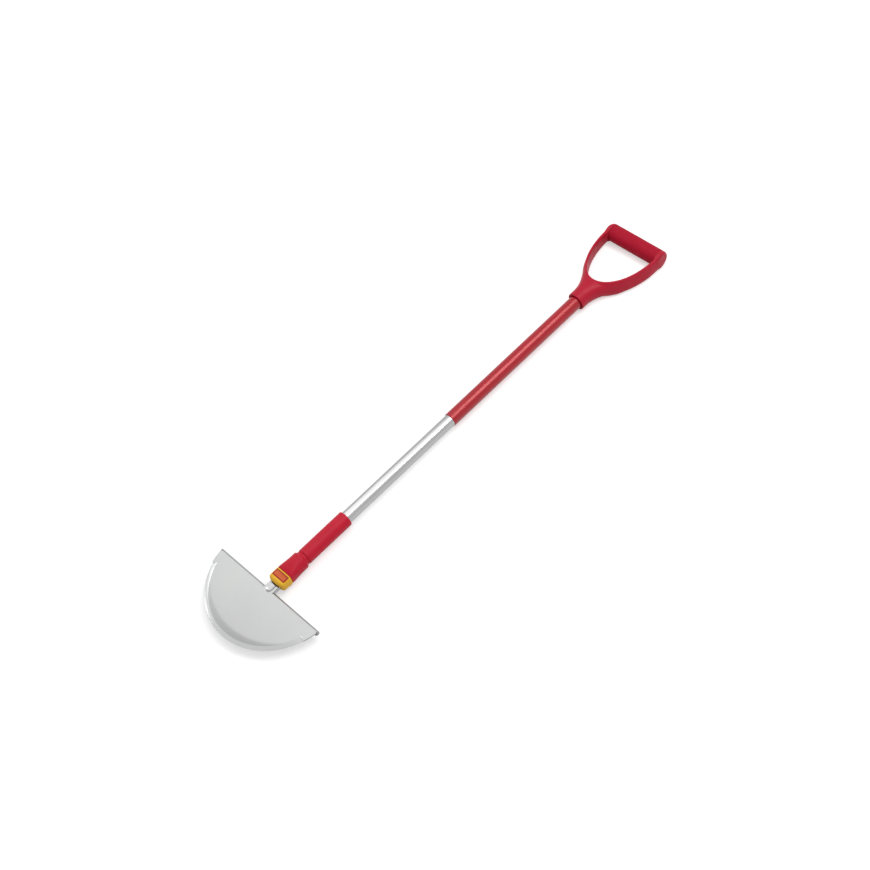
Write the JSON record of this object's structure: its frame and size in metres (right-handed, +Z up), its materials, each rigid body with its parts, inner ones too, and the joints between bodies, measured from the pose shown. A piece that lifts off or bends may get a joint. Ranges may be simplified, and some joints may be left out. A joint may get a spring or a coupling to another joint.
{
  "type": "half moon lawn edger",
  "caption": "Lawn edging iron: half moon steel blade with rolled foot treads on a quick-release tang, a push-button socket, a sleeved tube shaft and a D-grip.",
  "frame": {"origin": "on the ground under the middle of the tool's length, on its plane of symmetry, with the tool lying on its back", "axes": "+X along the shaft from the blade to the D-grip, +Z up out of the front of the blade and the release button, +Y to the left of the blade"},
  "size_m": [0.9636, 0.225, 0.0321],
  "materials": {
    "blade_steel": "bright zinc-plated sheet, satin",
    "tang_steel": "bright zinc-plated pressing",
    "yellow_plastic": "moulded, fine satin",
    "pad_red": "smooth bare inlay",
    "spring_steel": "drawn wire",
    "red_plastic": "moulded, satin",
    "red_sleeve": "glossy shrunk sleeve",
    "grip_soft": "soft matt over-moulding",
    "tube_aluminium": "drawn and polished",
    "rivet_aluminium": "plain"
  },
  "bodies": {
    "handle": {"socket_housing": "red_plastic", "latch_spring": "spring_steel", "lower_sleeve": "red_plastic", "socket_rivet": "rivet_aluminium", "shaft_tube": "tube_aluminium", "shaft_sleeve": "red_sleeve", "grip_yoke": "red_plastic", "grip_cover": "grip_soft", "grip_rivet": "rivet_aluminium"},
    "head": {"blade": "blade_steel", "tang": "tang_steel"},
    "button": {"release_button": "yellow_plastic", "button_pad": "pad_red"}
  },
  "joints": [
    {"name": "button_press", "type": "slide", "parent": "handle", "child": "button", "axis": [0, 0, -1], "range_m": [0, 0.0025], "stiffness_N_per_m": 3000, "springref_m": -0.001, "deforming": ["latch_spring"]},
    {"name": "head_release", "type": "slide", "parent": "handle", "child": "head", "axis": [-1, 0, 0], "range_m": [0, 0.06], "deforming": ["latch_spring"]}
  ]
}
